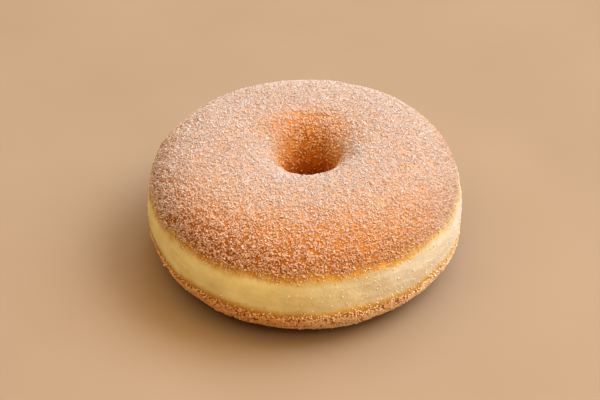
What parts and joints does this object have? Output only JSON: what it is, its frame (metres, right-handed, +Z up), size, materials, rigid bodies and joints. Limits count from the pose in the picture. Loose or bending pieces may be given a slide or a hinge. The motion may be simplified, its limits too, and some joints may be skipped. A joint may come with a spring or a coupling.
{
  "type": "doughnut",
  "caption": "Sugared ring doughnut: a plump round ring of fried dough with a narrow central hole, a pale belt around its side and a flat resting face underneath.",
  "frame": {"origin": "middle of the doughnut, on the plane that its underside rests on", "axes": "+Z up through the hole, +X to the right and -Y towards the viewer of the front"},
  "size_m": [0.096, 0.096, 0.039],
  "materials": {
    "doughnut": "matte golden-brown crust under a frosting of sugar crystals, with a cream belt"
  },
  "bodies": {
    "root": {"doughnut": "doughnut"}
  },
  "joints": []
}
